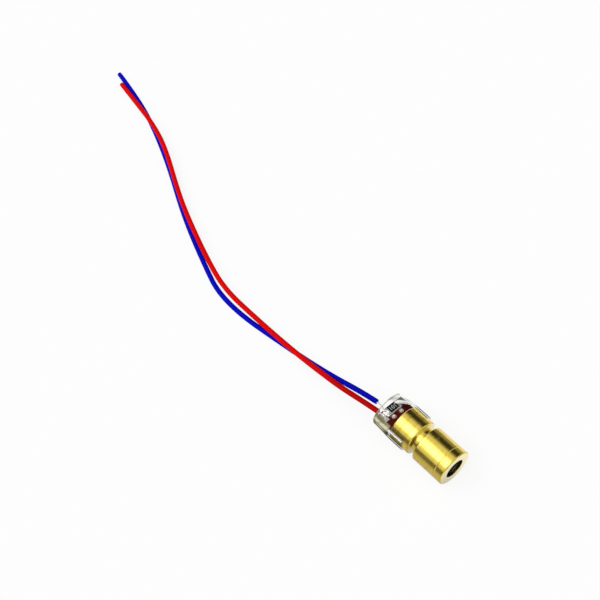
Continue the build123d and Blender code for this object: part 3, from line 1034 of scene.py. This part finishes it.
for name, line in (("red_cut_strands", red_line), ("blue_cut_strands", blue_line)):
    heading = (line[-1] - line[-2]) / np.linalg.norm(line[-1] - line[-2])
    stub = line[-1] + heading * np.linspace(-CUT_BORE, -STUB_SETBACK, 8)[:, None]
    add_piece(strands(name, stub), tinned, "tinned_copper")

# %% [markdown]
# ## Clear sleeve
# Heat-shrink tube: clear film that was slipped on and shrunk until it gripped the brass. Behind the holder
# nothing fills it, so it draws in to an oval over the board. Its end is cut off square, and the far corner is
# snipped. It is a closed shell with both walls. Cloth could be simulated for it, but a section that changes
# along the axis gives the same form, and the same one each time.

# %% Sleeve
SLEEVE_WALL = 0.25
SLEEVE_GRIP = 2.96
TAIL_LENGTH = 4.07
TAIL_HALF_WIDTH = 2.8
TAIL_HALF_HEIGHT = 2.3
CUT_STATION = -13.77
SNIP_START = 2.2
SNIP_SLOPE = math.tan(math.radians(65.0))
TAIL_WAVE = 0.04
LIP_ROUND = 0.03
SLEEVE_ROWS = 90
SLEEVE_COLUMNS = 180

sleeve_front = node_box("heatshrink_sleeve")[1][0]


def half_axis(x, tail):
    """Half axis of the section: that of the holder, then in a straight line down to that of the tail."""
    return SLEEVE_GRIP + np.clip((collar_rear - x) / TAIL_LENGTH, 0, 1) * (tail - SLEEVE_GRIP)


def film(share, angle, grow):
    """Wall of the sleeve, a given distance outside its inner face.

    The half axes times cosine and sine give y and z. The share runs from 0 at the front end to 1 at the cut,
    which moves forward by the snip's slope times how far the wall reaches past the snip's start. Shallow waves,
    0 on the holder, grow towards the tail. Nothing is lower than the floor, which leaves the film a small flat
    spot to lie on.
    """
    cut = np.full_like(angle, CUT_STATION)
    for _ in range(4):
        reach = (half_axis(cut, TAIL_HALF_WIDTH) + grow) * np.cos(angle)
        cut = CUT_STATION + SNIP_SLOPE * np.clip(reach - SNIP_START, 0, None)
    x = sleeve_front + share * (cut - sleeve_front)
    drawn = np.clip((collar_rear - x) / TAIL_LENGTH, 0, 1)
    wave = TAIL_WAVE * drawn * (np.sin(5 * angle + 1.0) + 0.7 * np.sin(9 * angle + 6 * share))
    y = (half_axis(x, TAIL_HALF_WIDTH) + grow + wave) * np.cos(angle)
    z = np.maximum((half_axis(x, TAIL_HALF_HEIGHT) + grow + wave) * np.sin(angle), floor_z)
    return np.stack([x, y, z], axis=-1)


share = np.linspace(0, 1, SLEEVE_ROWS)[:, None]
angle = np.repeat(ring(SLEEVE_COLUMNS)[None, :], SLEEVE_ROWS, axis=0)
outer = film(share, angle, SLEEVE_WALL)
inner = film(share, angle, 0.0)
front_lip = film(share[:1], angle[:1], SLEEVE_WALL / 2) + (LIP_ROUND, 0, 0)
rear_lip = film(share[-1:], angle[-1:], SLEEVE_WALL / 2) - (LIP_ROUND, 0, 0)
shell = np.concatenate([front_lip, outer, rear_lip, inner[::-1], front_lip])
sleeve_mesh = skin("shrunk_sleeve", shell, sharp=70)
print("sleeve points", len(sleeve_mesh.vertices))

# %% [markdown]
# Film this thin hardly bends what is seen through it, so its finish lets most light straight through and adds
# a skin only where something makes it show. Each such place is a band of the roll about the axis, which is 0
# at the top and 90 degrees on the near side, times a step of the station: a painted highlight along the near
# side of the holder with a painted shade above it and painted shade below it, a fold turned white slanting
# across the far part of the board, and the tail, painted with the shade of the floor seen through it and
# darker painted shade on its near side, with its snipped corner and its cut rim.

# %% Where the film shows
HOLDER_EDGE = (-10.9, -10.4)
GRIP_EDGE = (-11.3, -10.0)
HIGHLIGHT_ROLL = (69.5, 71.0, 74.5, 76.5)
HIGHLIGHT_EDGE = (-11.3, -10.4)
SHADE_ROLL = (64.0, 66.0, 68.5, 70.0)
UNDERSIDE_ROLL = (76, 83, 102, 122)
UNDERSIDE_EDGE = (-12.0, -10.2)
FOLD_ROLL = -26.5
FOLD_STATION = -11.91
FOLD_SLANT = 22.5
FOLD_SPAN = (-9.5, -6.5, 5, 8)
FOLD_STATIONS = (-12.9, -12.6, -11.2, -11.0)
CORNER_SPAN = (-44, -24, -13, -9)
CORNER_EDGE = (-12.0, -11.0)
TAIL_SHADE_ROLL = (57, 62, 100, 135)
TAIL_SHADE_TOP_ROLL = (57, 60, 64, 77)
TAIL_SHADE_TOP_EDGE = (-12.4, -11.0)
TAIL_SHADE_FOOT_ROLL = (87, 92, 97, 110)
RIM_EDGE = (-13.72, -13.45)

sleeve_film = new_finish("clear_film")
x, y, z = sleeve_film.axes()
roll = sleeve_film.node("ShaderNodeMath", {"operation": "ARCTAN2"}, {0: 0 - y, 1: z}) * math.degrees(1)
on_holder = sleeve_film.step(x, *HOLDER_EDGE)
on_tail = 1 - on_holder
gripping = sleeve_film.step(x, *GRIP_EDGE)
uneven = 0.7 + 0.5 * sleeve_film.noise(0.5)
# Painted highlight: a white band along the near side of the holder.
painted_highlight = sleeve_film.band(roll, *HIGHLIGHT_ROLL) * sleeve_film.step(x, *HIGHLIGHT_EDGE) * uneven
# Painted shade: a dark line just above the painted highlight.
painted_highlight_shade = 0.5 * sleeve_film.band(roll, *SHADE_ROLL) * on_holder
# Painted shade along the near side, below the painted highlight.
painted_underside_shade = 0.3 * sleeve_film.band(roll, *UNDERSIDE_ROLL) * sleeve_film.step(x, *UNDERSIDE_EDGE) * uneven
fold_way = roll - FOLD_ROLL + FOLD_SLANT * (x - FOLD_STATION)
fold = sleeve_film.band(fold_way, *FOLD_SPAN) * sleeve_film.band(x, *FOLD_STATIONS)
corner = sleeve_film.band(fold_way, *CORNER_SPAN) * (1 - sleeve_film.step(x, *CORNER_EDGE)) * uneven
# Painted shade: the tail takes the tone of the shaded floor seen through it.
tail_shade = on_tail * sleeve_film.band(roll, *TAIL_SHADE_ROLL)
# Painted shade: darker bands on the tail's near side.
tail_shade_top = sleeve_film.band(roll, *TAIL_SHADE_TOP_ROLL) * (1 - sleeve_film.step(x, *TAIL_SHADE_TOP_EDGE))
tail_shade_foot = sleeve_film.band(roll, *TAIL_SHADE_FOOT_ROLL) * on_tail
rim = 1 - sleeve_film.step(x, *RIM_EDGE)
print("film marked with", len(sleeve_film.tree.nodes), "nodes")

# %% [markdown]
# A clear film shows most at its outline, where one looks through more of it. Layer Weight gives how far the
# surface turns away from the eye, and adds to the skin there, as for any thin glass. Over the holder that skin
# is painted dark, a painted shade at the outline. The sum of all these shares is the cover: a Mix Shader goes
# by it from plain transparency to the skin. The skin is glossy where the film is white and matt where it
# carries painted shade, at the snipped corner and the rim, and over the holder outside the painted highlight.

# %% Film finish
PLAIN_TONE = (0.72, 0.72, 0.67)
# Painted shade tone, for the outline over the holder and the dark lines.
PAINTED_SHADE_TONE = (0.035, 0.029, 0.007)
WHITE_TONE = (0.97, 0.97, 0.96)
# Tone of the painted shade on the tail.
TAIL_SHADE_TONE = (0.46, 0.42, 0.19)
RIM_TONE = (0.33, 0.33, 0.20)
CORNER_TONE = (0.25, 0.26, 0.18)
# Tone of the darker painted shade on the tail.
DEEP_SHADE_TONE = (0.10, 0.090, 0.025)

facing = sleeve_film.node("ShaderNodeLayerWeight", inputs={"Blend": 0.5}, output="Facing")
# Painted shade: over the holder the film's outline is dark.
edge_on_holder = 0.7 * sleeve_film.step(facing, 0.62, 0.84) * gripping
edge_on_tail = 0.2 * sleeve_film.step(facing, 0.55, 0.92) * (1 - gripping)
# The fold turned white, and the painted highlight.
whitening_and_highlight = painted_highlight + fold
dark = painted_highlight_shade + painted_underside_shade
deep_tail_shade = 0.75 * tail_shade_top + tail_shade_foot
tone = sleeve_film.blend(whitening_and_highlight, sleeve_film.blend(gripping, PLAIN_TONE, PAINTED_SHADE_TONE), WHITE_TONE)
for place, place_tone in ((tail_shade, TAIL_SHADE_TONE), (rim, RIM_TONE), (corner, CORNER_TONE), (deep_tail_shade, DEEP_SHADE_TONE),
                          (sleeve_film.step(dark, 0.0, 0.2), PAINTED_SHADE_TONE)):
    tone = sleeve_film.blend(place, tone, place_tone)
cover = 0.0015 + 0.85 * whitening_and_highlight + 0.8 * dark + 0.35 * (corner + tail_shade + rim) + 0.45 * deep_tail_shade
cover = cover + edge_on_tail + edge_on_holder
dull = dark + deep_tail_shade + 0.8 * tail_shade + corner + rim + gripping * (1 - painted_highlight)
glossy = sleeve_film.principled(Base_Color=tone, Roughness=0.15, Specular_IOR_Level=0.3)
matt = sleeve_film.principled(Base_Color=tone, Roughness=0.6, Specular_IOR_Level=0.0)
skin_shader = sleeve_film.node("ShaderNodeMixShader", inputs={0: dull, 1: glossy, 2: matt})
through = sleeve_film.node("ShaderNodeBsdfTransparent", inputs={"Color": (1, 1, 1, 1)})
film_finish = sleeve_film.output(sleeve_film.node("ShaderNodeMixShader", inputs={0: cover, 1: through, 2: skin_shader}))
add_piece(sleeve_mesh, film_finish, "clear_sleeve", "heatshrink_sleeve")
